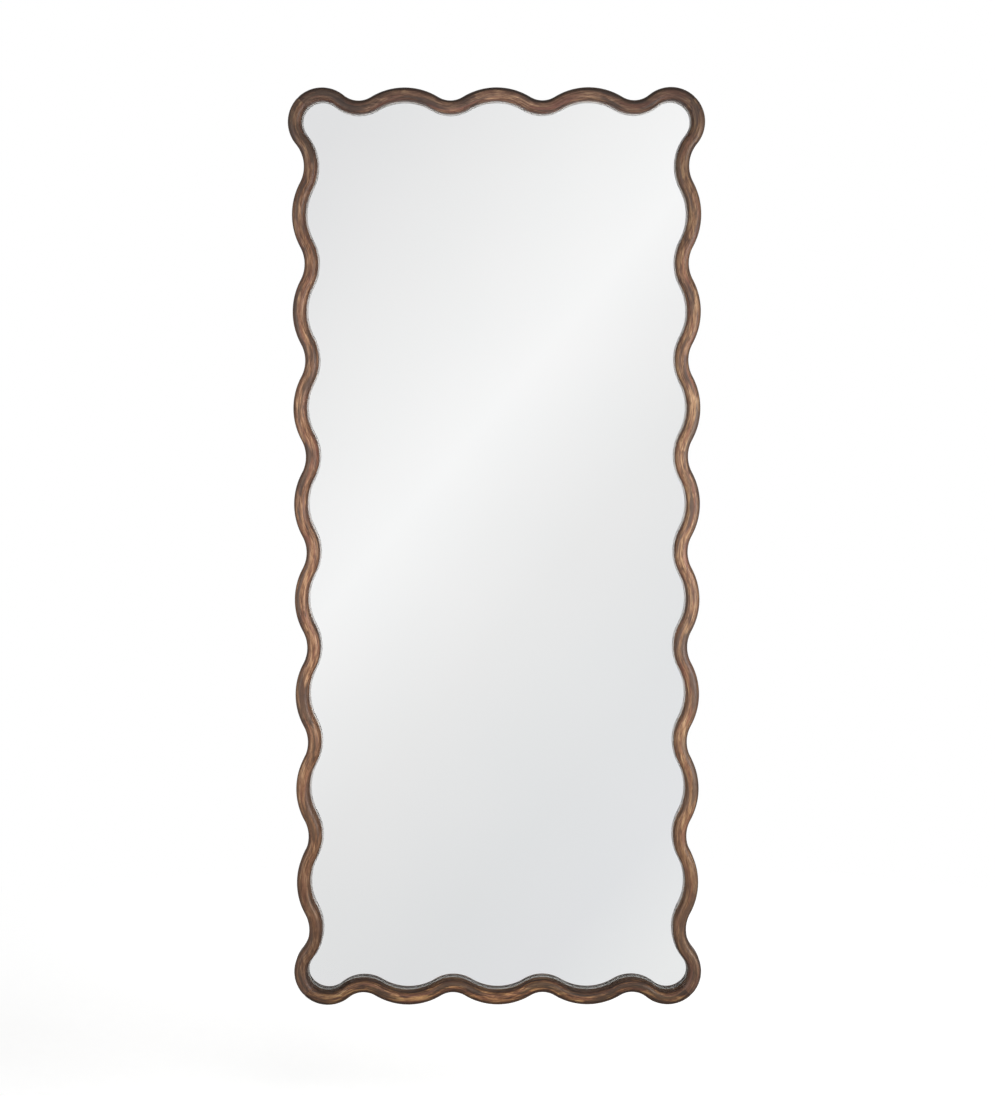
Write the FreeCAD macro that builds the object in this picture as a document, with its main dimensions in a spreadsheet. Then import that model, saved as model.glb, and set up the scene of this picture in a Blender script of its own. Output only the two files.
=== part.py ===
import FreeCAD, Part
import math
import os
from collections import namedtuple

# Wooden mirror with a waved frame. Millimetres; +X right, +Y into the wall, +Z up.
# The origin is on the wall, behind the middle of the mirror.

document = FreeCAD.newDocument("wooden_mirror")
sheet = document.addObject("Spreadsheet::Sheet", "Sizes")

# Every size that can be set by itself
sizes = [
    # Outline of the frame
    ("frame_width", "864"),  # over the corner lobes
    ("frame_height", "1930"),  # over the corner lobes
    ("member_width", "27.3"),
    ("lobe_radius", "57.5"),  # middle line of a corner lobe
    ("rail_crests", "3"),
    ("rail_wave_depth", "26.7"),
    ("rail_crest_share", "0.662"),  # part of a wave's two radii that its crest takes
    ("rail_crest_inset", "0.3"),  # crests lie this far inside the reach of the lobes
    ("stile_crests", "8"),
    ("stile_wave_depth", "25.4"),
    ("stile_crest_share", "0.597"),
    ("stile_crest_inset", "7.1"),
    # Section of the frame, from its front to its back
    ("crown_flat", "2.3"),  # left between the two rounded front edges
    ("lip_depth", "33"),
    ("tape_thickness", "1"),
    ("tape_width", "7"),
    ("tape_reveal", "3"),  # tape that shows inside the lip
    ("glass_thickness", "6"),
    ("glass_cover", "7"),  # glass hidden behind the lip
    ("glass_gap", "2"),
    ("panel_thickness", "6"),
    ("panel_seat", "10"),  # ledge that the panel is screwed to
    ("panel_gap", "0.8"),
    # Corner dowels
    ("dowel_diameter", "8"),
    ("dowel_length", "40"),
    ("dowel_end_gap", "0.5"),
    ("dowel_chamfer", "1"),
    ("dowel_inset", "13"),  # crown of the frame to the front dowel
    ("dowel_spacing", "14"),
    # Rubber blocks under the glass
    ("block_length", "40"),
    # Screws
    ("screw_diameter", "3.5"),
    ("screw_clearance", "0.2"),  # round a shank in the piece it holds down
    ("screw_point", "3"),
    ("screw_end_gap", "0.5"),
    ("head_diameter", "6.5"),
    ("pan_head_height", "2.4"),
    ("pan_head_top", "4.6"),
    ("panel_screw_length", "22"),
    ("pan_screw_length", "23"),  # below the head
    ("recess_length", "3.6"),
    ("recess_width", "0.9"),
    ("recess_depth", "1.4"),
    # Ring hangers
    ("ring_wire", "4"),
    ("ring_bow_radius", "10.5"),
    ("ring_corner_radius", "4"),
    ("ring_clearance", "0.05"),  # round the wire in the eye
    ("ring_side_play", "0.5"),
    ("ring_lean", "4.5"),  # degrees, from upright towards the panel
    ("strap_thickness", "1.5"),
    ("strap_screw_drop", "22"),  # ring wire to the upper screw
    ("strap_screw_spacing", "16"),
    # Rubber wall bumpers
    ("bumper_height", "8"),
    ("bumper_base_radius", "11"),
    ("bumper_top_radius", "9"),
    ("bumper_edge_radius", "1"),
    ("bumper_floor", "3"),  # rubber under the screw head
    ("bumper_well_radius", "5"),
]
for row, (alias, number) in enumerate(sizes, start=1):
    sheet.set(f"A{row}", alias)
    sheet.set(f"B{row}", number)
    sheet.setAlias(f"B{row}", alias)
document.recompute()


def size(alias):
    return float(sheet.get(alias))


# Sizes that follow from the ones above, as formulas of the sheet
depth_behind_lip = "(Sizes.tape_thickness + Sizes.glass_thickness + Sizes.panel_thickness)"
member_depth = f"(Sizes.lip_depth + {depth_behind_lip})"
eye_radius = "(Sizes.ring_wire / 2 + Sizes.ring_clearance + Sizes.strap_thickness)"
strap_width = "(2 * (Sizes.ring_bow_radius - Sizes.ring_corner_radius - Sizes.ring_side_play))"
shank_hole = "(Sizes.screw_diameter / 2 + Sizes.screw_clearance)"

# The same ones as numbers, where a shape is laid out point by point
half_width = size("member_width") / 2
layers_behind_lip = ("tape_thickness", "glass_thickness", "panel_thickness")
crown_to_back = size("lip_depth") + sum(size(layer) for layer in layers_behind_lip)
lobe_x = size("frame_width") / 2 - half_width - size("lobe_radius")
lobe_z = size("frame_height") / 2 - half_width - size("lobe_radius")

# Distances from the middle line of the frame, positive outwards
sight_edge = -half_width
tape_edge = sight_edge - size("tape_reveal")
glass_edge = sight_edge + size("glass_cover")
glass_rebate = glass_edge + size("glass_gap")
panel_rebate = glass_rebate + size("panel_seat")
panel_edge = panel_rebate - size("panel_gap")
seat_middle = (glass_rebate + panel_edge) / 2

# The outline is a chain of arcs that run smoothly into each other
Bend = namedtuple("Bend", "centre radius side start finish")
Wave = namedtuple("Wave", "crests half_pitch line crest_radius trough_radius depth")


def closed_wave(kind, along, across):
    # The half pitch solves a quadratic: the last trough has to touch the corner lobe
    crests = round(size(f"{kind}_crests"))
    depth = size(f"{kind}_wave_depth")
    trough_share = 1 - size(f"{kind}_crest_share")
    inset = size(f"{kind}_crest_inset")
    lobe = size("lobe_radius")
    drop = inset + depth
    square = crests**2 - drop * trough_share / depth
    middle = crests * along
    rest = along**2 - drop * (2 * lobe - drop + trough_share * depth)
    half_pitch = (middle - math.sqrt(middle**2 - square * rest)) / square
    both_radii = (half_pitch**2 + depth**2) / (2 * depth)
    trough_radius = trough_share * both_radii
    line = across + lobe - inset
    return Wave(crests, half_pitch, line, both_radii - trough_radius, trough_radius, depth)


rail_wave = closed_wave("rail", lobe_x, lobe_z)
stile_wave = closed_wave("stile", lobe_z, lobe_x)


def wave_circles(wave):
    # Circles of one side, as position along it, height of the centre, radius and side of the bulge
    circles = []
    for step in range(-wave.crests, wave.crests + 1):
        along = step * wave.half_pitch
        if (step + wave.crests) % 2:
            circles.append((along, wave.line - wave.crest_radius, wave.crest_radius, 1))
        else:
            height = wave.line - wave.depth + wave.trough_radius
            circles.append((along, height, wave.trough_radius, -1))
    return circles


def frame_circles():
    # Once round, clockwise seen from the front: top, right, bottom and left side, a lobe after each
    turns = [
        (rail_wave, lambda along, out: (along, out), (1, 1)),
        (stile_wave, lambda along, out: (out, -along), (1, -1)),
        (rail_wave, lambda along, out: (-along, -out), (-1, -1)),
        (stile_wave, lambda along, out: (-out, along), (-1, 1)),
    ]
    sides = []
    for wave, turn, corner in turns:
        circles = [(FreeCAD.Vector(*turn(along, out), 0), radius, side)
                   for along, out, radius, side in wave_circles(wave)]
        lobe = (FreeCAD.Vector(corner[0] * lobe_x, corner[1] * lobe_z, 0), size("lobe_radius"), 1)
        sides.append((circles, lobe))
    return sides


def direction_angle(start, finish):
    step = finish - start
    return math.atan2(step.y, step.x)


def joined_bends(circles, before, after, start=None, finish=None):
    # Arcs between the points where each circle touches the ones next to it
    chain = [before, *circles, after]
    bends = []
    for last, (centre, radius, side), following in zip(chain, chain[1:], chain[2:]):
        first_angle = direction_angle(centre, last[0])
        last_angle = direction_angle(centre, following[0])
        bends.append(Bend(centre, radius, side, first_angle, last_angle))
    if start is not None:
        bends[0] = bends[0]._replace(start=start)
    if finish is not None:
        bends[-1] = bends[-1]._replace(finish=finish)
    return [turned_right_way(bend) for bend in bends]


def turned_right_way(bend):
    # Crests and lobes run clockwise, troughs the other way
    turn = (bend.finish - bend.start) * -bend.side % (2 * math.pi)
    return bend._replace(finish=bend.start - bend.side * turn)


top, right, bottom, left = frame_circles()
all_circles = []
for side_circles, lobe in (top, right, bottom, left):
    all_circles += side_circles + [lobe]
ring_bends = joined_bends(all_circles, all_circles[-1], all_circles[0])


def member_bends(previous, this, following, over=0.0):
    # One side with half of the lobe at each end, up to the mitre or a little past it
    circles = [previous[1], *this[0], this[1]]
    mitres = [math.atan2(math.copysign(1, lobe[0].y), math.copysign(1, lobe[0].x))
              for lobe in (previous[1], this[1])]
    return joined_bends(circles, previous[0][-1], following[0][0], mitres[0] + over, mitres[1] - over)


def bend_point(bend, angle, offset):
    reach = bend.radius + bend.side * offset
    return bend.centre + FreeCAD.Vector(math.cos(angle), math.sin(angle), 0) * reach


def offset_arcs(bends, offset):
    arcs = []
    for bend in bends:
        circle = Part.Circle(bend.centre, FreeCAD.Vector(0, 0, 1), bend.radius + bend.side * offset)
        arcs.append(Part.ArcOfCircle(circle, *sorted((bend.start, bend.finish))))
    return arcs


def strip_outline(bends, inner, outer):
    # A strip along the bends, closed by a straight line at each end
    ends = []
    for bend, angle in ((bends[0], bends[0].start), (bends[-1], bends[-1].finish)):
        ends.append(Part.LineSegment(bend_point(bend, angle, inner), bend_point(bend, angle, outer)))
    return offset_arcs(bends, inner) + offset_arcs(bends, outer) + ends


def trough_points(wave, offset, turn):
    height = wave.line - wave.depth + offset
    steps = range(-wave.crests, wave.crests + 1, 2)
    return [turn(step * wave.half_pitch, height) for step in steps]


# Helpers for the features

def new_body(name):
    body = document.addObject("PartDesign::Body", name)
    body.Label = name
    return body


def new_sketch(body, name, geometry):
    sketch = body.newObject("Sketcher::SketchObject", name)
    plane = next(item for item in body.Origin.OriginFeatures if item.Role == "XZ_Plane")
    sketch.AttachmentSupport = [(plane, "")]
    sketch.MapMode = "FlatFace"
    sketch.addGeometry(geometry, False)
    return sketch


def new_feature(body, kind, name, **formulas):
    feature = body.newObject(f"PartDesign::{kind}", name)
    for item, formula in formulas.items():
        feature.setExpression(item, formula)
    return feature


def new_pad(body, name, geometry, length):
    pad = new_feature(body, "Pad", name, Length=length)
    pad.Profile = new_sketch(body, f"{name}_sketch", geometry)
    document.recompute()
    return pad


def new_pocket(body, name, geometry, depth):
    # Cuts from the back towards the front
    pocket = new_feature(body, "Pocket", name, Length=depth)
    pocket.Profile = new_sketch(body, f"{name}_sketch", geometry)
    pocket.Reversed = True
    document.recompute()
    return pocket


def circles_at(points, radius):
    normal = FreeCAD.Vector(0, 0, 1)
    return [Part.Circle(FreeCAD.Vector(x, z, 0), normal, radius) for x, z in points]


def put_behind(item, formula):
    # Level of the piece's back, in front of the wall
    item.setExpression("Placement.Base.y", f"-Sizes.bumper_height - {formula}")


def new_solid(kind, name, **formulas):
    solid = document.addObject(f"Part::{kind}", name)
    for item, formula in formulas.items():
        solid.setExpression(item.replace("__", "."), formula)
    return solid


def fused(name, parts):
    whole = document.addObject("Part::MultiFuse", name)
    whole.Shapes = parts
    return whole


def cut(name, base, tools):
    left_over = document.addObject("Part::Cut", name)
    left_over.Base = base
    left_over.Tool = tools[0] if len(tools) == 1 else fused(f"{name}_tools", tools)
    return left_over


# Pieces on the back are drawn as seen from behind: x to that side's right, y up, z to the wall
seen_from_behind = FreeCAD.Rotation(
    FreeCAD.Vector(-1, 0, 0), FreeCAD.Vector(0, 0, 1), FreeCAD.Vector(0, 1, 0), "XYZ")


def on_back(x, z, height=0.0):
    return FreeCAD.Placement(FreeCAD.Vector(x, height - size("bumper_height"), z), seen_from_behind)


def copies(name, pattern, places):
    group = document.addObject("Part::Feature", name)
    group.Label = name
    shapes = []
    for place in places:
        shape = pattern.Shape.copy()
        shape.Placement = place
        shapes.append(shape)
    group.Shape = Part.makeCompound(shapes)
    return group


# Where the screws go: every trough of the frame has one on the panel's ledge
def to_left(along, out):
    return -out, along


def to_right(along, out):
    return out, along


def to_top(along, out):
    return along, out


def to_bottom(along, out):
    return along, -out


stile_seats = {
    "stile_left": trough_points(stile_wave, seat_middle, to_left),
    "stile_right": trough_points(stile_wave, seat_middle, to_right),
}
rail_seats = {
    "rail_top": trough_points(rail_wave, seat_middle, to_top),
    "rail_bottom": trough_points(rail_wave, seat_middle, to_bottom),
}
bumper_points = {}
hanger_points = {}
panel_screw_points = {}
for name, seats in stile_seats.items():
    # The end troughs carry bumpers and the second one from the top carries a hanger
    bumper_points[name] = [seats[0], seats[-1]]
    hanger_points[name] = seats[-2]
    panel_screw_points[name] = seats[1:-2]
for name, seats in rail_seats.items():
    panel_screw_points[name] = seats


def hanger_screw_points(point):
    half = size("strap_screw_spacing") / 2
    return [(point[0], point[1] - half), (point[0], point[1] + half)]


# Wooden frame: two stiles and two rails, mitred through the corner lobes
corner_points = {}
for name, (circles, lobe) in (("top_right", top), ("bottom_right", right),
                              ("bottom_left", bottom), ("top_left", left)):
    outwards = FreeCAD.Vector(math.copysign(1, lobe[0].x), math.copysign(1, lobe[0].y), 0).normalize()
    corner_points[name] = (lobe[0] + outwards * lobe[1], outwards)
dowel_levels = [crown_to_back - size("dowel_inset"),
                crown_to_back - size("dowel_inset") - size("dowel_spacing")]


def along_mitre(corner, into_stile):
    # Direction across the mitre, in the frame's plane
    outwards = corner_points[corner][1]
    step = FreeCAD.Vector(outwards.x, 0, -outwards.y)
    return step if into_stile else -step


def drill_for_dowels(body, corner, into_stile):
    point = corner_points[corner][0]
    direction = along_mitre(corner, into_stile)
    turn = FreeCAD.Rotation(FreeCAD.Vector(0, 0, 1), direction)
    for number, level in enumerate(dowel_levels, start=1):
        hole = new_feature(body, "SubtractiveCylinder", f"{body.Name}_{corner}_dowel_hole_{number}",
                           Radius="Sizes.dowel_diameter / 2",
                           Height="Sizes.dowel_length / 2 + Sizes.dowel_end_gap")
        hole.Placement = FreeCAD.Placement(FreeCAD.Vector(point.x, -level, point.y), turn)
    document.recompute()


def front_edges(shape):
    # The long curved edges of the front face
    front = shape.BoundBox.YMin
    names = []
    for number, edge in enumerate(shape.Edges, start=1):
        level = edge.BoundBox.YMax
        if level - front < 1e-4 and isinstance(edge.Curve, Part.Circle):
            names.append(f"Edge{number}")
    return names


def wooden_member(name, previous, this, following, corners, into_stile):
    bends = member_bends(previous, this, following)
    over = member_bends(previous, this, following, over=math.radians(4))
    body = new_body(name)
    blank = new_pad(body, f"{name}_blank", strip_outline(bends, sight_edge, half_width), member_depth)
    rounded = new_feature(body, "Fillet", f"{name}_rounded_front",
                          Radius="(Sizes.member_width - Sizes.crown_flat) / 2")
    rounded.Base = (blank, front_edges(blank.Shape))
    document.recompute()
    inside = sight_edge - size("glass_cover")
    new_pocket(body, f"{name}_glass_rebate", strip_outline(over, inside, glass_rebate), depth_behind_lip)
    new_pocket(body, f"{name}_panel_rebate", strip_outline(over, inside, panel_rebate),
               "Sizes.panel_thickness")
    shank = size("screw_diameter") / 2
    new_pocket(body, f"{name}_panel_screw_holes", circles_at(panel_screw_points[name], shank),
               "Sizes.panel_screw_length + Sizes.screw_end_gap")
    if name in hanger_points:
        new_pocket(body, f"{name}_hanger_screw_holes",
                   circles_at(hanger_screw_points(hanger_points[name]), shank),
                   "Sizes.pan_screw_length - Sizes.strap_thickness + Sizes.screw_end_gap")
        new_pocket(body, f"{name}_bumper_screw_holes", circles_at(bumper_points[name], shank),
                   "Sizes.pan_screw_length - Sizes.bumper_floor + Sizes.screw_end_gap")
    for corner in corners:
        drill_for_dowels(body, corner, into_stile)
    put_behind(body, "0")
    return body


pieces = [
    wooden_member("stile_left", bottom, left, top, ("top_left", "bottom_left"), True),
    wooden_member("stile_right", top, right, bottom, ("top_right", "bottom_right"), True),
    wooden_member("rail_top", left, top, right, ("top_left", "top_right"), False),
    wooden_member("rail_bottom", right, bottom, left, ("bottom_left", "bottom_right"), False),
]

# Corner dowels: two across each mitre
dowel = new_body("dowel_pattern")
rod = new_feature(dowel, "AdditiveCylinder", "dowel_rod",
                  Radius="Sizes.dowel_diameter / 2", Height="Sizes.dowel_length")
rod.setExpression("Placement.Base.z", "-Sizes.dowel_length / 2")
document.recompute()
eased = new_feature(dowel, "Chamfer", "dowel_ends", Size="Sizes.dowel_chamfer")
eased.Base = (rod, [f"Edge{number}" for number, edge in enumerate(rod.Shape.Edges, start=1)
                    if isinstance(edge.Curve, Part.Circle)])
document.recompute()
for corner, (point, outwards) in corner_points.items():
    turn = FreeCAD.Rotation(FreeCAD.Vector(0, 0, 1), along_mitre(corner, True))
    places = [FreeCAD.Placement(FreeCAD.Vector(point.x, -level - size("bumper_height"), point.y), turn)
              for level in dowel_levels]
    pieces.append(copies(f"corner_dowels_{corner}", dowel, places))

# Bedding tape, mirror glass and backing panel, all cut to the wave
tape = new_body("bedding_tape")
new_pad(tape, "tape_strip",
        offset_arcs(ring_bends, tape_edge) + offset_arcs(ring_bends, tape_edge + size("tape_width")),
        "Sizes.tape_thickness")
put_behind(tape, "Sizes.panel_thickness - Sizes.glass_thickness")
glass = new_body("mirror_glass")
new_pad(glass, "glass_sheet", offset_arcs(ring_bends, glass_edge), "Sizes.glass_thickness")
put_behind(glass, "Sizes.panel_thickness")
panel = new_body("backing_panel")
new_pad(panel, "panel_sheet", offset_arcs(ring_bends, panel_edge), "Sizes.panel_thickness")
held_points = sum(panel_screw_points.values(), [])
pan_points = sum(bumper_points.values(), [])
for point in hanger_points.values():
    pan_points += hanger_screw_points(point)
hole_radius = size("screw_diameter") / 2 + size("screw_clearance")
holes = new_pocket(panel, "panel_holes", circles_at(held_points + pan_points, hole_radius),
                   "Sizes.panel_thickness")
sunk = new_feature(panel, "Chamfer", "panel_countersinks",
                   Size=f"Sizes.head_diameter / 2 - {shank_hole}")
sunk_edges = []
for number, edge in enumerate(holes.Shape.Edges, start=1):
    if not isinstance(edge.Curve, Part.Circle) or abs(edge.Curve.Radius - hole_radius) > 1e-6:
        continue
    middle = edge.Curve.Center
    if middle.y > -1e-6 and any(math.hypot(middle.x - x, middle.z - z) < 1e-3 for x, z in held_points):
        sunk_edges.append(f"Edge{number}")
sunk.Base = (holes, sunk_edges)
put_behind(panel, "0")
document.recompute()
pieces += [tape, glass, panel]

# Rubber blocks that carry the glass on the outer crests of the bottom rail
crests = [bend for bend in ring_bends if bend.side > 0 and bend.centre.y < 0
          and abs(abs(bend.centre.x) - (rail_wave.crests - 1) * rail_wave.half_pitch) < 1e-6]
for bend in crests:
    half_turn = size("block_length") / 2 / bend.radius
    short = bend._replace(start=-math.pi / 2 + half_turn, finish=-math.pi / 2 - half_turn)
    block = new_body("setting_block_left" if bend.centre.x < 0 else "setting_block_right")
    new_pad(block, f"{block.Name}_strip", strip_outline([short], glass_edge, glass_rebate),
            "Sizes.glass_thickness")
    put_behind(block, "Sizes.panel_thickness")
    pieces.append(block)


# Screws, drawn upright with the seat of the head at the origin
def screw_pattern(name, head, head_top, length):
    point = "Sizes.screw_point"
    shank = new_solid("Cylinder", f"{name}_shank", Radius="Sizes.screw_diameter / 2",
                      Height=f"{length} - {point}", Placement__Base__z=f"{point} - {length}")
    tip = new_solid("Cone", f"{name}_tip", Radius1="Sizes.screw_diameter / 16",
                    Radius2="Sizes.screw_diameter / 2", Height=point, Placement__Base__z=f"-{length}")
    slots = []
    for turn in (0, 90):
        slot = new_solid("Box", f"{name}_slot_{turn}", Length="Sizes.recess_length",
                         Width="Sizes.recess_width", Height="2 * Sizes.recess_depth")
        across = FreeCAD.Vector(-size("recess_length") / 2, -size("recess_width") / 2, 0)
        rotation = FreeCAD.Rotation(FreeCAD.Vector(0, 0, 1), turn)
        slot.Placement = FreeCAD.Placement(rotation.multVec(across), rotation)
        slot.setExpression("Placement.Base.z", f"{head_top} - Sizes.recess_depth")
        slots.append(slot)
    whole = cut(name, fused(f"{name}_blank", [shank, tip, head]), slots)
    document.recompute()
    return whole


sunk_height = "((Sizes.head_diameter - Sizes.screw_diameter) / 2)"
sunk_head = new_solid("Cone", "sunk_head", Radius1="Sizes.screw_diameter / 2",
                      Radius2="Sizes.head_diameter / 2", Height=sunk_height,
                      Placement__Base__z=f"-{sunk_height}")
sunk_screw = screw_pattern("sunk_screw", sunk_head, "0", "Sizes.panel_screw_length")
pan_head = new_solid("Cone", "pan_head", Radius1="Sizes.head_diameter / 2",
                     Radius2="Sizes.pan_head_top / 2", Height="Sizes.pan_head_height")
pan_screw = screw_pattern("pan_screw", pan_head, "Sizes.pan_head_height", "Sizes.pan_screw_length")
hanger_screw_places = []
bumper_screw_places = []
for point in hanger_points.values():
    hanger_screw_places += [on_back(x, z, size("strap_thickness")) for x, z in hanger_screw_points(point)]
for points in bumper_points.values():
    bumper_screw_places += [on_back(x, z, size("bumper_floor")) for x, z in points]
pieces.append(copies("panel_screws", sunk_screw, [on_back(x, z) for x, z in held_points]))
pieces.append(copies("hanger_screws", pan_screw, hanger_screw_places))
pieces.append(copies("bumper_screws", pan_screw, bumper_screw_places))


# Ring hangers: a strap rolled round the straight wire of a ring, which swings in it
def hanger_strap(name, place):
    wire_hole = "(Sizes.ring_wire / 2 + Sizes.ring_clearance)"
    lower = "(Sizes.strap_screw_drop + Sizes.strap_screw_spacing)"
    # The plate ends inside the wall of the eye
    plate = new_solid("Box", f"{name}_plate", Length=strap_width, Width=f"{lower} - {wire_hole} / 2",
                      Height="Sizes.strap_thickness", Placement__Base__x=f"-{strap_width} / 2",
                      Placement__Base__y=f"-{lower}")
    end = new_solid("Cylinder", f"{name}_end", Radius=f"{strap_width} / 2",
                    Height="Sizes.strap_thickness", Placement__Base__y=f"-{lower}")
    eye = new_solid("Cylinder", f"{name}_eye", Radius=eye_radius, Height=strap_width)
    bore = new_solid("Cylinder", f"{name}_bore", Radius=wire_hole, Height=strap_width)
    for item in (eye, bore):
        item.Placement.Rotation = FreeCAD.Rotation(FreeCAD.Vector(0, 0, 1), FreeCAD.Vector(1, 0, 0))
        item.setExpression("Placement.Base.x", f"-{strap_width} / 2")
        item.setExpression("Placement.Base.z", eye_radius)
    tools = [bore]
    for number, drop in enumerate(("Sizes.strap_screw_drop", lower), start=1):
        tools.append(new_solid("Cylinder", f"{name}_screw_hole_{number}", Radius=shank_hole,
                               Height="Sizes.strap_thickness", Placement__Base__y=f"-{drop}"))
    strap = cut(name, fused(f"{name}_blank", [plate, end, eye]), tools)
    strap.Label = name
    strap.Placement = place
    return strap


def hang_ring(name, place):
    wire = "Sizes.ring_wire / 2"
    straight = "(Sizes.ring_bow_radius - Sizes.ring_corner_radius)"
    bar = new_solid("Cylinder", f"{name}_bar", Radius=wire, Height=f"2 * {straight}",
                    Placement__Base__x=f"-{straight}")
    bar.Placement.Rotation = FreeCAD.Rotation(FreeCAD.Vector(0, 0, 1), FreeCAD.Vector(1, 0, 0))
    bow = new_solid("Torus", f"{name}_bow", Radius1="Sizes.ring_bow_radius", Radius2=wire,
                    Placement__Base__y="Sizes.ring_corner_radius")
    bow.Angle3 = 180
    parts = [bar, bow]
    for side, turn in ((1, -90), (-1, 180)):
        corner = new_solid("Torus", f"{name}_corner_{len(parts)}", Radius1="Sizes.ring_corner_radius",
                           Radius2=wire, Placement__Base__x=f"{side} * {straight}",
                           Placement__Base__y="Sizes.ring_corner_radius")
        corner.Angle3 = 90
        corner.Placement.Rotation = FreeCAD.Rotation(FreeCAD.Vector(0, 0, 1), turn)
        parts.append(corner)
    ring = fused(name, parts)
    ring.Label = name
    lean = FreeCAD.Rotation(FreeCAD.Vector(1, 0, 0), -size("ring_lean"))
    ring.Placement = FreeCAD.Placement(place.Base, place.Rotation.multiply(lean))
    return ring


eye_height = size("ring_wire") / 2 + size("ring_clearance") + size("strap_thickness")
for member, (x, z) in hanger_points.items():
    side = member.replace("stile_", "")
    wire_z = z + size("strap_screw_spacing") / 2 + size("strap_screw_drop")
    pieces.append(hanger_strap(f"hanger_strap_{side}", on_back(x, wire_z)))
    pieces.append(hang_ring(f"hang_ring_{side}", on_back(x, wire_z, eye_height)))


# Rubber bumpers that stand the mirror off the wall
def wall_bumper(name, place):
    body = new_body(name)
    cone = new_feature(body, "AdditiveCone", f"{name}_rubber", Radius1="Sizes.bumper_base_radius",
                       Radius2="Sizes.bumper_top_radius", Height="Sizes.bumper_height")
    document.recompute()
    soft = new_feature(body, "Fillet", f"{name}_soft_edge", Radius="Sizes.bumper_edge_radius")
    soft.Base = (cone, [f"Edge{number}" for number, edge in enumerate(cone.Shape.Edges, start=1)
                        if isinstance(edge.Curve, Part.Circle) and edge.BoundBox.ZMin > 0.1])
    well = new_feature(body, "SubtractiveCylinder", f"{name}_well", Radius="Sizes.bumper_well_radius",
                       Height="Sizes.bumper_height - Sizes.bumper_floor")
    well.setExpression("Placement.Base.z", "Sizes.bumper_floor")
    new_feature(body, "SubtractiveCylinder", f"{name}_hole", Radius=shank_hole,
                Height="Sizes.bumper_height")
    body.Placement = place
    return body


for member, points in bumper_points.items():
    side = member.replace("stile_", "")
    for level, (x, z) in zip(("bottom", "top"), points):
        pieces.append(wall_bumper(f"wall_bumper_{level}_{side}", on_back(x, z)))
document.recompute()

# Nothing is written unless every object is sound
for item in document.Objects:
    if "Invalid" in item.State or "Error" in item.State:
        raise RuntimeError(f"{item.Name} did not build: {item.State}")
for piece in pieces:
    if piece.Shape.isNull() or not piece.Shape.isValid():
        raise RuntimeError(f"{piece.Label} has no valid shape")
os.makedirs("parts", exist_ok=True)
for piece in pieces:
    piece.Shape.exportStep(f"parts/{piece.Label}.step")
    print(f"{piece.Label}: {len(piece.Shape.Solids)} solid(s), {piece.Shape.Volume / 1000:.2f} cm3")
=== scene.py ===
import math

import bpy
import numpy as np
from mathutils import Matrix, Vector


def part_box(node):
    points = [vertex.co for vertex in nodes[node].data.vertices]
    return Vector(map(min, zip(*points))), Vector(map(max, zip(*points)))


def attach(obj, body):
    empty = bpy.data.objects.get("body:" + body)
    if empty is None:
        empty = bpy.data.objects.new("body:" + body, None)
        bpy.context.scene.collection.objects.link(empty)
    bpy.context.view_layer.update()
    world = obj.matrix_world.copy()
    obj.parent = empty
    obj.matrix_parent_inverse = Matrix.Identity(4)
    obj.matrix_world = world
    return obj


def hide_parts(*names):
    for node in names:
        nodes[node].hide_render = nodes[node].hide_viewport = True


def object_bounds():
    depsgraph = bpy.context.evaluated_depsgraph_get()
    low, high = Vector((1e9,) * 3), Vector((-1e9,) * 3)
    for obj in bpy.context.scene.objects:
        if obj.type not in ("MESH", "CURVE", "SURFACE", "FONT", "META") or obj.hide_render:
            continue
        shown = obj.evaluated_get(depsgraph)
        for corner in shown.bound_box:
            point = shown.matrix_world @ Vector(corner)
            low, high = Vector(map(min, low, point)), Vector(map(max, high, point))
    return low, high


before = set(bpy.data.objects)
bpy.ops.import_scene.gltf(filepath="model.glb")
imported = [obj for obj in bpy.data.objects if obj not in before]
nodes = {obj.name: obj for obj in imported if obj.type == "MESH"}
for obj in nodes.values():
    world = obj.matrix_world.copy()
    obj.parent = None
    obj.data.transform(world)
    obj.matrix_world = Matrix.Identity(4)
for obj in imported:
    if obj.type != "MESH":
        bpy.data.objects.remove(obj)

# Wooden mirror with a waved frame. Metres; +X right, +Y into the wall, +Z up, origin on the wall.
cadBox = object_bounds()
print("frame loaded,", len(nodes), "nodes")


# Shared tools

mmPerMetre = 1000
noiseSpan = (0.3, 0.7)  # nearly all of a noise's values


def linear(hexColour):
    # sRGB hex to linear light
    share = np.array([int(hexColour[i:i + 2], 16) for i in (1, 3, 5)]) / 255
    light = np.where(share <= 0.04045, share / 12.92, ((share + 0.055) / 1.055) ** 2.4)
    return (*light.tolist(), 1.0)


def grey(level):
    return (level, level, level, 1.0)


def addNode(tree, kind, inputs=None, out=0, stops=None, **settings):
    # One node with its settings, socket values or links, and the stops of a ramp; gives one output back
    made = tree.nodes.new(kind)
    for key, value in settings.items():
        setattr(made, key, value)
    for socket, value in (inputs or {}).items():
        if isinstance(value, bpy.types.NodeSocket):
            tree.links.new(value, made.inputs[socket])
        else:
            made.inputs[socket].default_value = value
    if stops:
        marks = made.color_ramp.elements
        while len(marks) < len(stops):
            marks.new(0.5)
        for mark, (place, colour) in zip(marks, stops):
            mark.position = place
            mark.color = colour
    return made.outputs[out] if made.outputs else made


def newMaterial(name):
    material = bpy.data.materials.new(name)
    material.use_nodes = True
    material.node_tree.nodes.clear()
    return material, material.node_tree


def newPiece(name, points, faces):
    mesh = bpy.data.meshes.new(name)
    mesh.from_pydata(points.tolist(), [], faces)
    mesh.validate()
    piece = bpy.data.objects.new(name, mesh)
    bpy.context.scene.collection.objects.link(piece)
    return piece


def dress(piece, material):
    piece.data.materials.clear()
    piece.data.materials.append(material)


# Middle line of the frame

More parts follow.
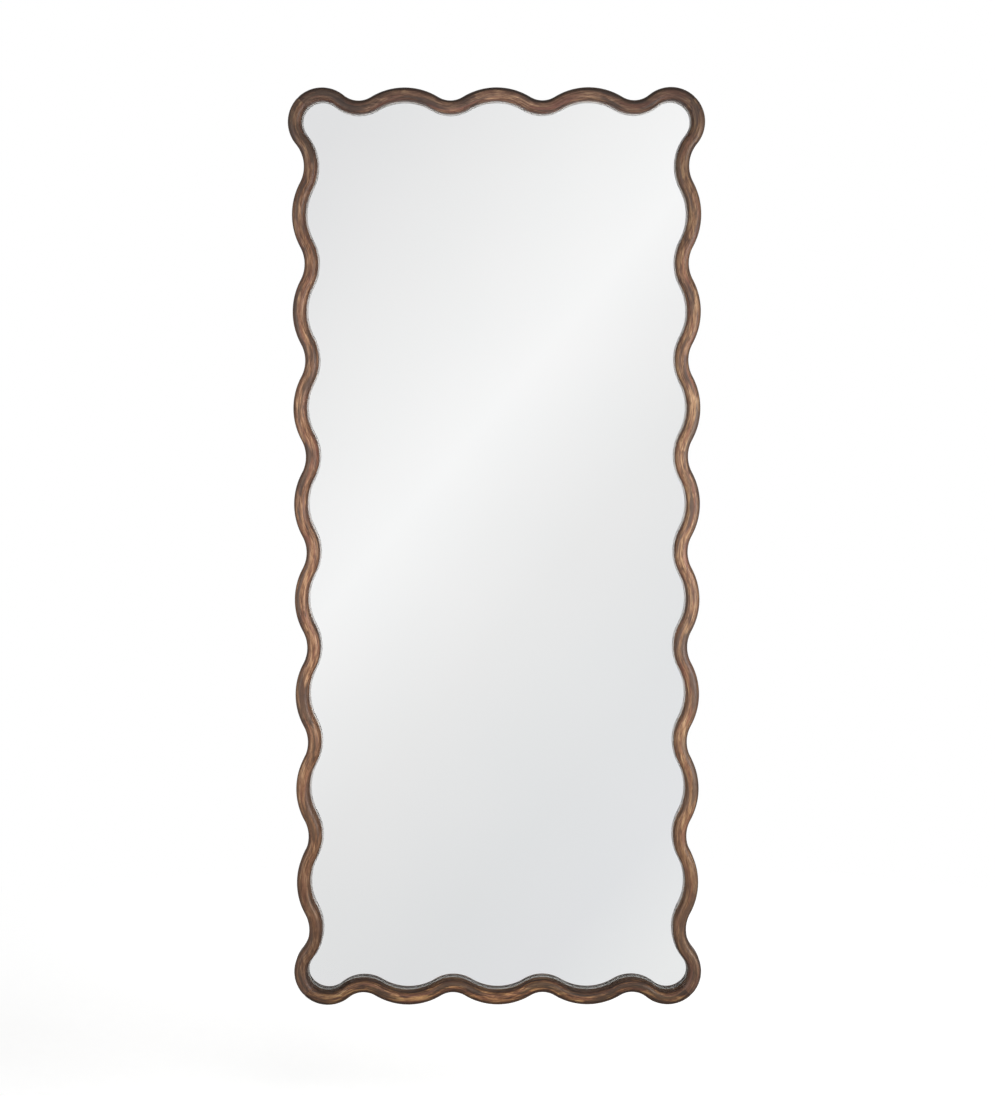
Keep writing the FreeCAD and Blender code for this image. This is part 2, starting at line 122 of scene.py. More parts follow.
waveFrame = {
    "memberWidth": 0.0273,
    "lobeRadius": 0.0575,  # middle line of a corner lobe
    "rail": {"crests": 3, "depth": 0.0267, "crestShare": 0.662, "inset": 0.0003},
    "stile": {"crests": 8, "depth": 0.0254, "crestShare": 0.597, "inset": 0.0071},
    "pathStep": 0.004,
}
halfWidth = waveFrame["memberWidth"] / 2
lobeX = cadBox[1].x - halfWidth - waveFrame["lobeRadius"]
lobeZ = cadBox[1].z - halfWidth - waveFrame["lobeRadius"]


def waveCircles(wave, along, across):
    # Crest and trough circles of one side; the half pitch makes the last trough touch the lobe:
    # it is the smaller root of square * q^2 - 2 * crests * along * q + rest = 0
    crests, depth, inset = wave["crests"], wave["depth"], wave["inset"]
    lobe = waveFrame["lobeRadius"]
    troughShare = 1 - wave["crestShare"]
    drop = inset + depth
    square = crests**2 - drop * troughShare / depth
    middle = crests * along
    rest = along**2 - drop * (2 * lobe - drop + troughShare * depth)
    halfPitch = (middle - math.sqrt(middle**2 - square * rest)) / square
    bothRadii = (halfPitch**2 + depth**2) / (2 * depth)
    line = across + lobe - inset
    step = np.arange(-crests, crests + 1)
    side = np.where((step + crests) % 2 == 1, 1, -1)
    radius = np.where(side > 0, wave["crestShare"], troughShare) * bothRadii
    height = np.where(side > 0, line - radius, line - depth + radius)
    return np.column_stack([step * halfPitch, height, radius, side])


def sideCircles(name):
    # The circles turned to their side of the frame, clockwise from the front, with a lobe at each end
    turns = {
        "rail_top": ("rail", [[1, 0], [0, 1]]),
        "stile_right": ("stile", [[0, -1], [1, 0]]),
        "rail_bottom": ("rail", [[-1, 0], [0, -1]]),
        "stile_left": ("stile", [[0, 1], [-1, 0]]),
    }
    kind, turn = turns[name]
    along, across = (lobeX, lobeZ) if kind == "rail" else (lobeZ, lobeX)
    lobe = np.array([along, across, waveFrame["lobeRadius"], 1])
    circles = np.vstack([lobe * (-1, 1, 1, 1), waveCircles(waveFrame[kind], along, across), lobe])
    circles[:, :2] = circles[:, :2] @ np.array(turn)
    return circles


def memberPath(name):
    # A chain of tangent arcs from mitre to mitre: point = centre + radius * (cos a, sin a)
    circles = sideCircles(name)
    centre, radius, side = circles[:, :2], circles[:, 2], circles[:, 3]
    start, finish = np.zeros(len(radius)), np.zeros(len(radius))
    back, ahead = centre[:-1] - centre[1:], centre[1:] - centre[:-1]
    start[1:] = np.arctan2(back[:, 1], back[:, 0])
    finish[:-1] = np.arctan2(ahead[:, 1], ahead[:, 0])
    mitre = np.sign(centre[[0, -1]])
    start[0], finish[-1] = np.arctan2(mitre[:, 1], mitre[:, 0])
    turn = (finish - start) * -side % (2 * math.pi)
    count = np.ceil(turn * radius / waveFrame["pathStep"]).astype(int)
    arc = np.repeat(np.arange(len(radius)), count)
    share = (np.arange(count.sum()) - np.repeat(np.cumsum(count) - count, count)) / count[arc]
    arc, share = np.append(arc, len(radius) - 1), np.append(share, 1.0)
    angle = start[arc] - side[arc] * turn[arc] * share
    ray = np.column_stack([np.cos(angle), np.sin(angle)])
    return centre[arc] + radius[arc, None] * ray, side[arc, None] * ray


members = ("stile_left", "stile_right", "rail_top", "rail_bottom")
paths = {name: memberPath(name) for name in members}
print("middle line:", sum(len(points) for points, outward in paths.values()), "points")


# Wooden members

woodSection = {
    "crownFlat": 0.0023,
    "roundSteps": 14,
    "glassCover": 0.007,
    "glassGap": 0.002,
    "panelSeat": 0.010,
    "jointEase": 0.0003,  # softened arris at a mitre
    "sharpAngle": 35.0,
}


def woodProfile():
    # Closed section from the crown over the outer wall, the rebates and the inner wall, as
    # offset from the middle line, level in front of the wall and slope of the surface (-1 in, 1 out)
    front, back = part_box("stile_left")[0].y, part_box("stile_left")[1].y
    glassBack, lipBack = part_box("mirror_glass")[1].y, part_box("bedding_tape")[0].y
    rounding = halfWidth - woodSection["crownFlat"] / 2
    turn = np.linspace(0, math.pi / 2, woodSection["roundSteps"])
    offset = woodSection["crownFlat"] / 2 + rounding * np.sin(turn)
    level = front + rounding * (1 - np.cos(turn))
    glassRebate = woodSection["glassCover"] + woodSection["glassGap"] - halfWidth
    panelRebate = glassRebate + woodSection["panelSeat"]
    rear = [
        (halfWidth, back, 1), (panelRebate, back, 0), (panelRebate, glassBack, 0),
        (glassRebate, glassBack, 0), (glassRebate, lipBack, 0), (-halfWidth, lipBack, -1),
    ]
    outer = np.column_stack([offset, level, np.sin(turn)])
    inner = np.column_stack([-offset, level, -np.sin(turn)])[::-1]
    return np.vstack([outer, rear, inner])


def sweep(name, path, outward, profile):
    # Surface S(i, j) = path point i + offset j * outward normal i, at level j
    ease = woodSection["jointEase"]
    along = np.append(0, np.cumsum(np.linalg.norm(np.diff(path, axis=0), axis=1)))
    offset = np.tile(profile[:, 0], (len(path), 1))
    level = np.tile(profile[:, 1], (len(path), 1))
    offset[[0, -1]] *= 1 - ease / halfWidth
    level[[0, -1]] += ease * (profile[:, 1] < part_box("bedding_tape")[0].y - ease)
    plan = path[:, None, :] + offset[:, :, None] * outward[:, None, :]
    points = np.stack([plan[..., 0], level, plan[..., 1]], axis=-1).reshape(-1, 3)
    rings, ring = offset.shape
    i, j = np.meshgrid(np.arange(rings - 1), np.arange(ring), indexing="ij")
    onward = (j + 1) % ring
    near, far = i * ring, (i + 1) * ring
    quads = np.stack([near + j, near + onward, far + onward, far + j], axis=-1)
    caps = [list(range(ring))[::-1], list(range((rings - 1) * ring, rings * ring))]
    piece = newPiece(name, points, quads.reshape(-1, 4).tolist() + caps)
    mesh = piece.data
    # Place on the straightened member: along it, across it and into it
    flow = np.stack([np.repeat(along, ring), offset.ravel(), level.ravel()], axis=-1)
    mesh.attributes.new("flow", "FLOAT_VECTOR", "POINT").data.foreach_set("vector", flow.ravel())
    slope = np.tile(profile[:, 2], rings)
    mesh.attributes.new("slope", "FLOAT", "POINT").data.foreach_set("value", slope)
    reach = np.repeat(np.minimum(along, along[-1] - along), ring)
    mesh.attributes.new("endReach", "FLOAT", "POINT").data.foreach_set("value", reach)
    mesh.shade_smooth()
    mesh.set_sharp_from_angle(angle=math.radians(woodSection["sharpAngle"]))
    return piece


# Mango wood, shaped to a round nose, stained brown, wiped and waxed: growth rings run straight along
# each board, so the wave cuts them into tongues; wiping leaves streaks along the wave, a paler crown
# and dark edges, and the dark edges also carry painted shade of the rounded sides
mangoWood = {
    "ring": 7.5, "drift": 34.0, "pithBehind": 34.0, "pithAside": 46.0,  # mm
    "noiseRoughness": 0.6,
    "grain": {  # what it follows, size along and across in mm, detail
        "wander": ("board", 150, 38, 3.0),
        "patch": ("board", 60, 11, 2.0),
        "pore": ("board", 11, 1.3, 1.0),  # real pores are 0.2 mm wide; drawn coarser to show
        "streak": ("flow", 52, 2.8, 3.0),
        "fibre": ("flow", 17, 1.5, 3.0),
        "rosy": ("flow", 85, 8, 2.0),
        "smoky": ("flow", 105, 14, 2.0),
    },
    # Tone over one ring
    "season": ((0.0, 0.2), (0.07, 0.2), (0.22, 0.8), (0.5, 0.62), (0.85, 0.42), (1.0, 0.2)),
    "yearScale": 0.43,  # how fast the rings differ, per ring
    # Parts of the tone
    "share": {"ring": 0.42, "year": 1.05, "patch": 1.05, "streak": 1.05, "fibre": 0.9},
    "spots": (0.08, 0.32, 0.52, 0.74, 0.95),  # of the five tones below
    # The stain colour also paints shade on the edges and towards the corners
    "stainAndShade": "#2c1d14",
    "cover": {  # stops of a pattern with the share of the wood it covers
        "rosy": ((0.5, 0.0), (0.64, 0.6)),
        "smoky": ((0.49, 0.0), (0.61, 0.82)),
        "ochre": ((0.06, 0.0), (0.2, 0.36), (0.8, 0.0)),  # height above the lowest edge, metres
        "pore": ((0.3, 0.6), (0.42, 0.0)),
        # edge: stain left in the edges, deepened into painted shade of the rounded sides
        "edge": ((0.15, 0.0), (0.4, 0.3), (0.65, 0.78)),  # slope, from the crown
        # corner: stain at the joints and painted shade, darker towards the frame's corners where less
        # light falls
        "corner": ((0.13, 0.57), (0.18, 0.47), (0.29, 0.34), (0.49, 0.0)),  # reach from a joint, metres
    },
    "edgeWander": -0.6, "cornerWander": 0.3,
    # Roughness over the slope: waxed crown
    "sheen": ((0.0, 0.26), (0.5, 0.32), (0.85, 0.62), (1.0, 0.7)),
    "sheenGrain": 0.25, "waxIndex": 1.45,
    "poreDepth": 0.5, "relief": 0.0004, "reliefStrength": 0.4,  # relief in metres
    # Per member; the edge gain darkens the outer edge and the edge at the glass with stain and painted
    # shade, strongest on the rails' outer edges; the lighter edge at the glass is painted light on the
    # shaded inner wall
    "stile_left": {
        "tones": ("#3f281c", "#744e38", "#9e7252", "#c79974", "#e4ba90"),
        "rosy": "#8f5b4a", "smoky": "#513f34", "ochre": "#7c5430",
        "edgeStainShadeGain": (1.0, 0.75), "seed": 3.1,
    },
    "stile_right": {
        "tones": ("#442e23", "#7b5843", "#a07857", "#c59c75", "#e0b98f"),
        "rosy": "#9c6653", "smoky": "#59483f", "ochre": "#845a36",
        "edgeStainShadeGain": (1.0, 0.75), "seed": 7.7,
    },
    # The top rail's darker tones are partly painted shade, the lower light on the rails, and partly its
    # own board tone
    "rail_top": {
        "tones": ("#3c281e", "#694b39", "#8b6651", "#b08a6b", "#d6ab87"),
        "rosy": "#855346", "smoky": "#473933", "ochre": "#7c5430",
        "edgeStainShadeGain": (1.55, 0.6), "seed": 12.4,
    },
    "rail_bottom": {
        "tones": ("#29170e", "#5e3b25", "#a06f4a", "#e7ae74", "#ffd597"),
        "rosy": "#8c5743", "smoky": "#463525", "ochre": "#7c5430",
        "edgeStainShadeGain": (1.9, 1.0), "seed": 18.9,
    },
}


def stainedMangoWood(name):
    look = mangoWood[name]
    upright = name.startswith("stile")
    material, tree = newMaterial(f"mango_wood_stained_{name}")
    place = addNode(tree, "ShaderNodeTexCoord", out="Object")
    split = addNode(tree, "ShaderNodeSeparateXYZ", {0: place}).node.outputs
    axes = ("Z", "X", "Y") if upright else ("X", "Z", "Y")
    course = {
        "board": addNode(tree, "ShaderNodeCombineXYZ", {i: split[axis] for i, axis in enumerate(axes)}),
        "flow": addNode(tree, "ShaderNodeAttribute", out="Vector", attribute_name="flow"),
    }
    grain = {}
    for key, (follows, along, across, detail) in mangoWood["grain"].items():
        shifted = addNode(tree, "ShaderNodeVectorMath", {0: course[follows], 1: (look["seed"],) * 3})
        perMetre = [mmPerMetre / size for size in (along, across, across)]
        stretched = addNode(tree, "ShaderNodeVectorMath", {0: shifted, 1: perMetre}, operation="MULTIPLY")
        grain[key] = addNode(tree, "ShaderNodeTexNoise", {
            "Vector": stretched, "Scale": 1.0, "Detail": detail,
            "Roughness": mangoWood["noiseRoughness"]})

    # Distance from the pith, wandering along the board, counted in growth rings
    outer = name in ("stile_right", "rail_top")
    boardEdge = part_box(name)[outer][0 if upright else 2]
    aside = boardEdge - (1 if outer else -1) * mangoWood["pithAside"] / mmPerMetre
    fromPith = addNode(tree, "ShaderNodeVectorMath", {
        0: course["board"], 1: (0, aside, mangoWood["pithBehind"] / mmPerMetre)}, operation="SUBTRACT")
    acrossGrain = addNode(tree, "ShaderNodeVectorMath", {0: fromPith, 1: (0, 1, 1)}, operation="MULTIPLY")
    radius = addNode(tree, "ShaderNodeVectorMath", {0: acrossGrain}, out="Value", operation="LENGTH")
    wandered = addNode(tree, "ShaderNodeMath", {
        0: grain["wander"], 1: mangoWood["drift"] / mmPerMetre, 2: radius}, operation="MULTIPLY_ADD")
    rings = addNode(tree, "ShaderNodeMath", {
        0: wandered, 1: mangoWood["ring"] / mmPerMetre}, operation="DIVIDE")
    grain["year"] = addNode(tree, "ShaderNodeTexNoise", {
        "W": rings, "Scale": mangoWood["yearScale"], "Detail": 1.0}, noise_dimensions="1D")
    season = addNode(tree, "ShaderNodeMath", {0: rings}, operation="FRACT")
    grain["ring"] = addNode(tree, "ShaderNodeValToRGB", {0: season}, stops=[
        (spot, grey(level)) for spot, level in mangoWood["season"]])

    # Tone of the wood, about a middle of one half
    tone = 0.5 - sum(mangoWood["share"].values()) / 2
    for key, share in mangoWood["share"].items():
        tone = addNode(tree, "ShaderNodeMath", {
            0: grain[key], 1: share, 2: tone}, operation="MULTIPLY_ADD")
    wood = addNode(tree, "ShaderNodeValToRGB", {0: tone}, stops=[
        (spot, linear(colour)) for spot, colour in zip(mangoWood["spots"], look["tones"])])

    # Rosy and smoky stretches, warmer feet of the stiles, open pores, and stain with painted shade on the
    # edges and towards the corners
    slope = addNode(tree, "ShaderNodeAttribute", out="Fac", attribute_name="slope")
    # Painted shade on the edges: stronger on the rails; less at the glass, which paints light on the
    # inner wall
    outerGain, innerGain = look["edgeStainShadeGain"]
    outward = addNode(tree, "ShaderNodeMath", {0: slope, 1: outerGain}, operation="MULTIPLY")
    inward = addNode(tree, "ShaderNodeMath", {0: slope, 1: -innerGain}, operation="MULTIPLY")
    steep = addNode(tree, "ShaderNodeMath", {0: outward, 1: inward}, operation="MAXIMUM")
    reach = addNode(tree, "ShaderNodeAttribute", out="Fac", attribute_name="endReach")
    grain["ochre"] = addNode(tree, "ShaderNodeMath", {
        0: split["Z"], 1: cadBox[0].z}, operation="SUBTRACT")
    grain["edge"] = addNode(tree, "ShaderNodeMath", {
        0: grain["streak"], 1: mangoWood["edgeWander"], 2: steep}, operation="MULTIPLY_ADD")
    # Painted shade: darker towards the frame's corners, with some stain at the joints
    grain["corner"] = addNode(tree, "ShaderNodeMath", {
        0: grain["smoky"], 1: mangoWood["cornerWander"], 2: reach}, operation="MULTIPLY_ADD")
    for key, cover in mangoWood["cover"].items():
        colour = linear(look.get(key, mangoWood["stainAndShade"]))
        share = addNode(tree, "ShaderNodeValToRGB", {0: grain[key]}, stops=[
            (spot, grey(level)) for spot, level in cover])
        wood = addNode(tree, "ShaderNodeMix", {0: share, 6: wood, 7: colour}, out=2, data_type="RGBA")

    # Waxed crown, matt edges, open grain
    sheen = addNode(tree, "ShaderNodeValToRGB", {0: steep}, stops=[
        (spot, grey(level)) for spot, level in mangoWood["sheen"]])
    rough = addNode(tree, "ShaderNodeMath", {
        0: grain["fibre"], 1: mangoWood["sheenGrain"], 2: sheen}, operation="MULTIPLY_ADD")
    height = addNode(tree, "ShaderNodeMath", {
        0: grain["pore"], 1: mangoWood["poreDepth"], 2: grain["fibre"]}, operation="MULTIPLY_ADD")
    bump = addNode(tree, "ShaderNodeBump", {
        "Strength": mangoWood["reliefStrength"], "Distance": mangoWood["relief"], "Height": height})
    shader = addNode(tree, "ShaderNodeBsdfPrincipled", {
        "Base Color": wood, "Roughness": rough, "Normal": bump, "IOR": mangoWood["waxIndex"]})
    addNode(tree, "ShaderNodeOutputMaterial", {0: shader})
    return material


profile = woodProfile()
for name in members:
    piece = sweep(f"{name}_wood", *paths[name], profile)
    dress(piece, stainedMangoWood(name))
    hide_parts(name)
    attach(piece, "mirror")
print("wooden members swept")


# Mirror: clear float glass with a silver coat just inside its back face

silverCoat = {
    "inset": 0.00006, "thickness": 0.00004, "edge": 0.0065,  # edge: hidden behind the lip
    "silverColours": ("#f7f7f7", "#f8f8f8"), "silverCloud": 330,  # mm
    "glassColours": ("#fdfefe", "#fefefe"), "glassWave": 170, "glassIndex": 1.52,
}


def closedOutline(offset):
    # Once round the frame at an offset from the middle line
    order = ("rail_top", "stile_right", "rail_bottom", "stile_left")
    return np.vstack([paths[name][0][:-1] + offset * paths[name][1][:-1] for name in order])


def silverSheet():
    # A thin plate of the glass's outline: two faces and the strip between them
    outline = closedOutline(silverCoat["edge"] - halfWidth)
    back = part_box("mirror_glass")[1].y - silverCoat["inset"]
    count = len(outline)
    levels = np.repeat([back - silverCoat["thickness"], back], count)
    points = np.column_stack([np.tile(outline[:, 0], 2), levels, np.tile(outline[:, 1], 2)])
    k = np.arange(count)
    following = (k + 1) % count
    strip = np.column_stack([k, following, following + count, k + count]).tolist()
    return newPiece("silver_coat", points, strip + [k[::-1].tolist(), (k + count).tolist()])


def floatGlass():
    # Float glass: flat and clear
    material, tree = newMaterial("float_glass_clear")
    place = addNode(tree, "ShaderNodeTexCoord", out="Object")
    waves = addNode(tree, "ShaderNodeTexNoise", {
        "Vector": place, "Scale": mmPerMetre / silverCoat["glassWave"], "Detail": 0.0})
    tint = addNode(tree, "ShaderNodeValToRGB", {0: waves}, stops=[
        (spot, linear(colour)) for spot, colour in zip((0.0, 1.0), silverCoat["glassColours"])])
    shader = addNode(tree, "ShaderNodeBsdfPrincipled", {
        "Base Color": tint, "Roughness": 0.0, "IOR": silverCoat["glassIndex"], "Transmission Weight": 1.0,
        "Specular Tint": grey(0)})
    addNode(tree, "ShaderNodeOutputMaterial", {0: shader})
    return material


def silvering():
    # Silver laid on glass: a bright, even mirror
    material, tree = newMaterial("silvering_on_glass")
    place = addNode(tree, "ShaderNodeTexCoord", out="Object")
    cloud = addNode(tree, "ShaderNodeTexNoise", {
        "Vector": place, "Scale": mmPerMetre / silverCoat["silverCloud"], "Detail": 1.0})
    tint = addNode(tree, "ShaderNodeValToRGB", {0: cloud}, stops=[
        (spot, linear(colour)) for spot, colour in zip(noiseSpan, silverCoat["silverColours"])])
    shader = addNode(tree, "ShaderNodeBsdfPrincipled", {
        "Base Color": tint, "Metallic": 1.0, "Roughness": 0.0})
    addNode(tree, "ShaderNodeOutputMaterial", {0: shader})
    return material


silver = silverSheet()
dress(silver, silvering())
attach(silver, "mirror")
dress(nodes["mirror_glass"], floatGlass())
print("mirror silvered")


# Finishes of the pieces on the back and inside; grain in mm, bump and soak in metres

corners = ("top_left", "top_right", "bottom_left", "bottom_right")
bumpers = [f"wall_bumper_{corner}" for corner in corners]
dowels = [f"corner_dowels_{corner}" for corner in corners]
hangers = ["hanger_strap_left", "hanger_strap_right", "hang_ring_left", "hang_ring_right"]
plainGrain = {"detail": 4.0, "roughness": 0.6, "bumpStrength": 0.5}
finishes = {
    # Rolled paint on pressed fibres: dull black with a fine tooth
    "black_hardboard_painted": {
        "nodes": ["backing_panel"], "colours": ("#17171a", "#242427"), "grain": 1.2,
        "rough": (0.62, 0.78), "bump": 0.00012},
    # Stamped and plated: bright, slightly clouded metal
    "zinc_plated_steel": {
        "nodes": hangers, "colours": ("#a9acac", "#c3c6c6"), "grain": 3.0,
        "rough": (0.25, 0.42), "bump": 0.00002, "metallic": 1.0},
    # Rolled and plated: a little duller
    "zinc_plated_screw_steel": {
        "nodes": ["panel_screws", "hanger_screws", "bumper_screws"], "colours": ("#a2a4a2", "#bbbdba"),
        "grain": 1.5, "rough": (0.28, 0.45), "bump": 0.00002, "metallic": 1.0},
    # Moulded in a matt tool: soft black without shine
    "moulded_black_rubber": {
        "nodes": bumpers + ["setting_block_left", "setting_block_right"],
        "colours": ("#1b1b1c", "#29292a"), "grain": 0.8, "rough": (0.6, 0.75), "bump": 0.00006},
    # Foamed and slit: chalky white that light soaks into, with painted shade where it lies on the lower
    # ledge
    "white_foam_tape": {
        "nodes": ["bedding_tape"], "colours": ("#efece7", "#f6f4f0"), "grain": 0.7,
        "rough": (0.7, 0.85), "bump": 0.00005, "soak": 0.003,
        "ledgeShade": "#a8a7a4", "ledgeShadeReach": (0.045, 0.10)},  # metres above the lowest edge
    # Turned and left bare: pale, even wood
    "beech_turned": {
        "nodes": dowels, "colours": ("#c29a70", "#d8b78e"), "grain": 1.5,
        "rough": (0.5, 0.65), "bump": 0.00005},
}


def plainFinish(name, look):
    # A grain that moves colour, gloss and surface together
    material, tree = newMaterial(name)
    place = addNode(tree, "ShaderNodeTexCoord", out="Object")
    grain = addNode(tree, "ShaderNodeTexNoise", {
        "Vector": place, "Scale": mmPerMetre / look["grain"],
        "Detail": plainGrain["detail"], "Roughness": plainGrain["roughness"]})
    colour = addNode(tree, "ShaderNodeValToRGB", {0: grain}, stops=[
        (spot, linear(tint)) for spot, tint in zip(noiseSpan, look["colours"])])
    rough = addNode(tree, "ShaderNodeValToRGB", {0: grain}, stops=[
        (spot, grey(level)) for spot, level in zip(noiseSpan, look["rough"])])
    bump = addNode(tree, "ShaderNodeBump", {
        "Strength": plainGrain["bumpStrength"], "Distance": look["bump"], "Height": grain})
    # Painted shade: the tape turns grey towards the lower ledge, where the bottom rail's lip shades it
    if "ledgeShade" in look:
        level = addNode(tree, "ShaderNodeSeparateXYZ", {0: place}, out="Z")
        start, finish = (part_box(look["nodes"][0])[0].z + reach for reach in look["ledgeShadeReach"])
        unshaded = addNode(tree, "ShaderNodeMapRange", {0: level, 1: start, 2: finish})
        colour = addNode(tree, "ShaderNodeMix", {
            0: unshaded, 6: linear(look["ledgeShade"]), 7: colour}, out=2, data_type="RGBA")
    soak = look.get("soak", 0.0)
    shader = addNode(tree, "ShaderNodeBsdfPrincipled", {
        "Base Color": colour, "Roughness": rough, "Normal": bump, "Metallic": look.get("metallic", 0.0),
        "Subsurface Weight": float(soak > 0), "Subsurface Radius": (1, 1, 1), "Subsurface Scale": soak})
    addNode(tree, "ShaderNodeOutputMaterial", {0: shader})
    return material


for name, look in finishes.items():
    finish = plainFinish(name, look)
    for node in look["nodes"]:
        dress(nodes[node], finish)
print("finishes laid on", sum(len(look["nodes"]) for look in finishes.values()), "nodes")


# Studio

studio = {
    "floorBelow": 0.30, "floorSize": 14.0, "floorColours": ("#e9e9e8", "#ededec"),
    "floorSpeck": 25, "floorLift": 0.55,  # mm; share of light added to the floor for the camera
    "floorFade": (1.4, 3.0),  # distance at which the floor starts and ends fading to white, metres
    "ambient": 0.12,
    "cardDistance": 9.0, "cardSize": 12.0, "cardFade": (3.6, 5.8),
    "bandAxis": (0.763, -0.647), "bandSpan": 4.49, "bandMiddle": 0.381,  # across the card's band of light
    "bandTones": ((0.024, "#e9e9ea"), (0.202, "#f4f4f4"), (0.381, "#ffffff"), (0.47, "#f7f7f7"),
                  (0.56, "#f1f1f1"), (0.738, "#eaebec"), (0.857, "#eaebed"), (0.976, "#f2f3f3")),
    "bandFall": ((0.2, 1.0), (0.62, 0.945)),  # along the band
    "lamps": {
        "keyRight": {"place": (1.9, -1.6, 0.0), "size": 1.2, "power": 31},
        "fillLeft": {"place": (-1.9, -1.8, 0.1), "size": 1.2, "power": 13},
        "frontMiddle": {"place": (0.0, -1.2, 0.0), "size": 0.6, "power": 7.6, "shines": False},
        "backFill": {"place": (0.6, 3.6, 1.6), "size": 2.6, "power": 100},
    },
}


def squarePlate(name, rim):
    return newPiece(name, np.array(rim, float), [[0, 1, 2, 3]])


def paleFloor():
    # Pale near the object, where its shadow falls, and white to the camera further off
    half = studio["floorSize"] / 2
    level = cadBox[0].z - studio["floorBelow"]
    rim = [(x * half, y * half, level) for x, y in ((-1, -1), (1, -1), (1, 1), (-1, 1))]
    floor = squarePlate("floor", rim)
    material, tree = newMaterial("pale_floor")
    place = addNode(tree, "ShaderNodeTexCoord", out="Object")
    speck = addNode(tree, "ShaderNodeTexNoise", {
        "Vector": place, "Scale": mmPerMetre / studio["floorSpeck"], "Detail": 2.0})
    colour = addNode(tree, "ShaderNodeValToRGB", {0: speck}, stops=[
        (spot, linear(tint)) for spot, tint in zip(noiseSpan, studio["floorColours"])])
    matt = addNode(tree, "ShaderNodeBsdfDiffuse", {0: colour})
    seen = addNode(tree, "ShaderNodeLightPath", out="Is Camera Ray")
    lift = addNode(tree, "ShaderNodeMath", {0: seen, 1: studio["floorLift"]}, operation="MULTIPLY")
    lifted = addNode(tree, "ShaderNodeEmission", {1: lift})
    near = addNode(tree, "ShaderNodeAddShader", {0: matt, 1: lifted})
    plan = addNode(tree, "ShaderNodeVectorMath", {0: place, 1: (1, 1, 0)}, operation="MULTIPLY")
    distance = addNode(tree, "ShaderNodeVectorMath", {0: plan}, out="Value", operation="LENGTH")
    start, finish = studio["floorFade"]
    fade = addNode(tree, "ShaderNodeMapRange", {0: distance, 1: start, 2: finish})
    faded = addNode(tree, "ShaderNodeMath", {0: fade, 1: seen}, operation="MULTIPLY")
    white = addNode(tree, "ShaderNodeEmission", {1: 1.0})
    surface = addNode(tree, "ShaderNodeMixShader", {0: faded, 1: near, 2: white})
    addNode(tree, "ShaderNodeOutputMaterial", {0: surface})
    dress(floor, material)
    floor.visible_diffuse = False
    floor.visible_glossy = False
    floor.visible_transmission = False


def reflectionCard():
    # A toned card far in front, which only mirrors and gloss see: a soft diagonal band of light
    half, level = studio["cardSize"] / 2, -studio["cardDistance"]
    rim = [(x * half, level, z * half) for x, z in ((-1, -1), (-1, 1), (1, 1), (1, -1))]
    card = squarePlate("reflection_card", rim)
    material, tree = newMaterial("reflection_card")
    place = addNode(tree, "ShaderNodeTexCoord", out="Object")
    axis = np.array(studio["bandAxis"]) / studio["bandSpan"]
    across = addNode(tree, "ShaderNodeVectorMath", {0: place, 1: (axis[0], 0, axis[1])}, out="Value",
                     operation="DOT_PRODUCT")
    band = addNode(tree, "ShaderNodeMath", {0: across, 1: studio["bandMiddle"]}, operation="ADD")
    tone = addNode(tree, "ShaderNodeValToRGB", {0: band}, stops=[
        (spot, linear(colour)) for spot, colour in studio["bandTones"]])
    along = addNode(tree, "ShaderNodeVectorMath", {0: place, 1: (axis[1], 0, -axis[0])}, out="Value",
                    operation="DOT_PRODUCT")
    fall = addNode(tree, "ShaderNodeValToRGB", {0: along}, stops=[
        (spot, grey(level)) for spot, level in studio["bandFall"]])
    tone = addNode(tree, "ShaderNodeMix", {0: 1.0, 6: tone, 7: fall}, out=2, data_type="RGBA",
                   blend_type="MULTIPLY")
    start, finish = studio["cardFade"]
    plan = addNode(tree, "ShaderNodeVectorMath", {0: place, 1: (1, 0, 1)}, operation="MULTIPLY")
    distance = addNode(tree, "ShaderNodeVectorMath", {0: plan}, out="Value", operation="LENGTH")
    fade = addNode(tree, "ShaderNodeMapRange", {0: distance, 1: start, 2: finish})
    tone = addNode(tree, "ShaderNodeMix", {0: fade, 6: tone, 7: grey(1.0)}, out=2, data_type="RGBA")
    glow = addNode(tree, "ShaderNodeEmission", {0: tone, 1: 1.0})
    addNode(tree, "ShaderNodeOutputMaterial", {0: glow})
    dress(card, material)
    card.visible_camera = False
    card.visible_diffuse = False
    card.visible_shadow = False


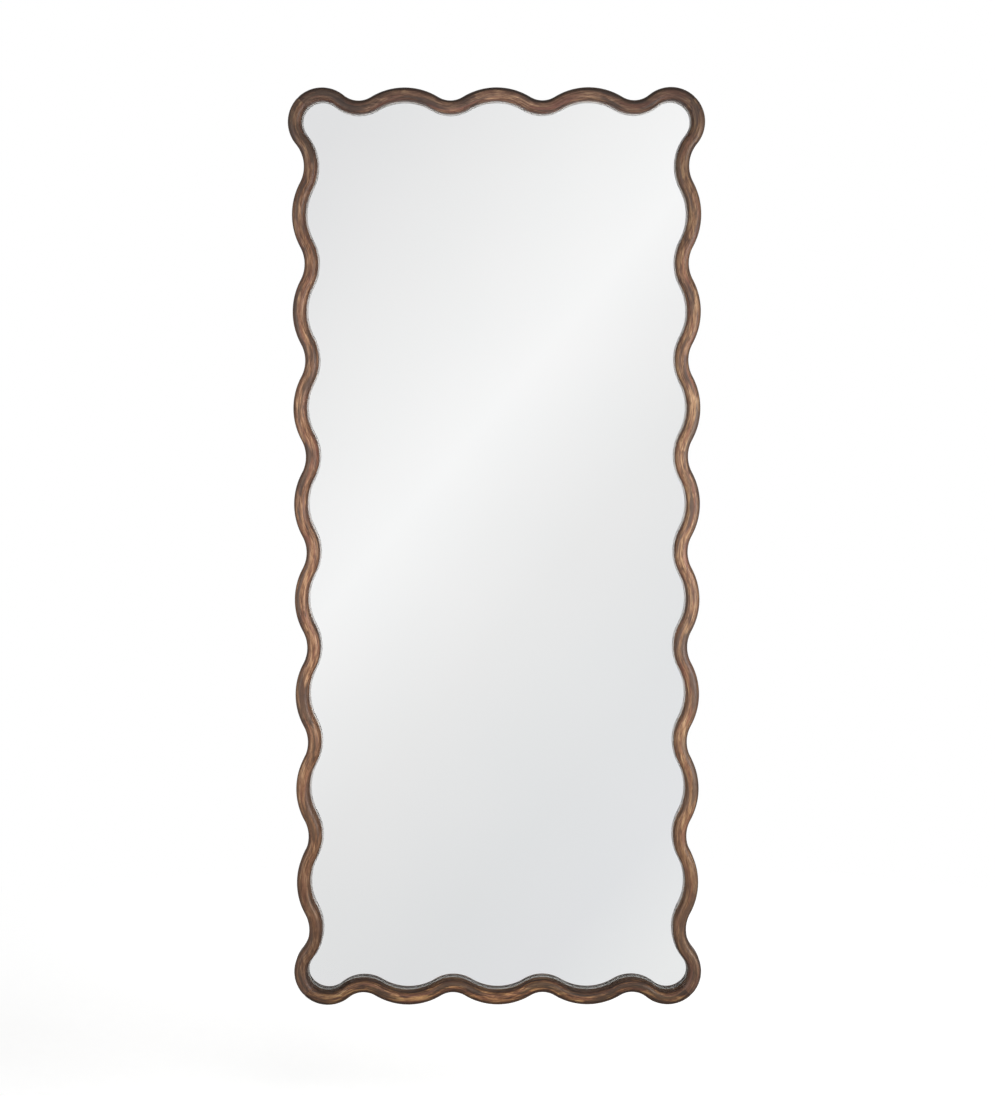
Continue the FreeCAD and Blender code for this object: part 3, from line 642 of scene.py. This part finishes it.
def whiteWorld():
    # White to the camera, metal and glass; a low even light to everything else
    world = bpy.data.worlds.new("studio")
    world.use_nodes = True
    tree = world.node_tree
    tree.nodes.clear()
    rays = addNode(tree, "ShaderNodeLightPath").node.outputs
    shown = rays["Is Camera Ray"]
    for kind in ("Is Glossy Ray", "Is Transmission Ray"):
        shown = addNode(tree, "ShaderNodeMath", {0: shown, 1: rays[kind]}, operation="MAXIMUM")
    even = addNode(tree, "ShaderNodeBackground", {0: grey(1.0), 1: studio["ambient"]})
    white = addNode(tree, "ShaderNodeBackground", {0: grey(1.0), 1: 1.0})
    sky = addNode(tree, "ShaderNodeMixShader", {0: shown, 1: even, 2: white})
    addNode(tree, "ShaderNodeOutputWorld", {0: sky})
    bpy.context.scene.world = world


def softLamps():
    for name, lamp in studio["lamps"].items():
        light = bpy.data.lights.new(name, "AREA")
        light.shape = "SQUARE"
        light.size = lamp["size"]
        light.energy = lamp["power"]
        made = bpy.data.objects.new(name, light)
        made.location = lamp["place"]
        made.rotation_euler = (-Vector(lamp["place"])).to_track_quat("-Z", "Y").to_euler()
        made.visible_glossy = lamp.get("shines", True)
        made.visible_transmission = False  # keeps it out of the mirror
        bpy.context.scene.collection.objects.link(made)


paleFloor()
reflectionCard()
whiteWorld()
softLamps()
print("studio set")


# Camera, as the photograph was taken: square on, from above the middle, looking slightly down

photoCamera = {
    "aside": -0.00205, "distance": 5.8035, "height": 0.49085,  # from the face of the glass
    "tiltDown": 0.0832, "turnRight": 0.0005, "roll": -0.0014,  # radians
    "focalPixels": 2767.4, "photoHeight": 1096, "sensor": 36.0,
}


def setCamera():
    look = photoCamera
    data = bpy.data.cameras.new("camera")
    data.sensor_width = look["sensor"]
    data.lens = look["sensor"] * look["focalPixels"] / look["photoHeight"]
    camera = bpy.data.objects.new("camera", data)
    bpy.context.scene.collection.objects.link(camera)
    tilt, turn = look["tiltDown"], look["turnRight"]
    ahead = Vector((math.sin(turn) * math.cos(tilt), math.cos(turn) * math.cos(tilt), -math.sin(tilt)))
    right = Vector((math.cos(turn), -math.sin(turn), 0))
    up = right.cross(ahead)
    rolledRight = right * math.cos(look["roll"]) + up * math.sin(look["roll"])
    rolledUp = up * math.cos(look["roll"]) - right * math.sin(look["roll"])
    axes = Matrix((rolledRight, rolledUp, -ahead)).transposed()
    spot = (look["aside"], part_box("mirror_glass")[0].y - look["distance"], look["height"])
    camera.matrix_world = Matrix.Translation(spot) @ axes.to_4x4()
    bpy.context.scene.camera = camera


setCamera()
bpy.context.scene.view_settings.view_transform = "Standard"
print("camera set")
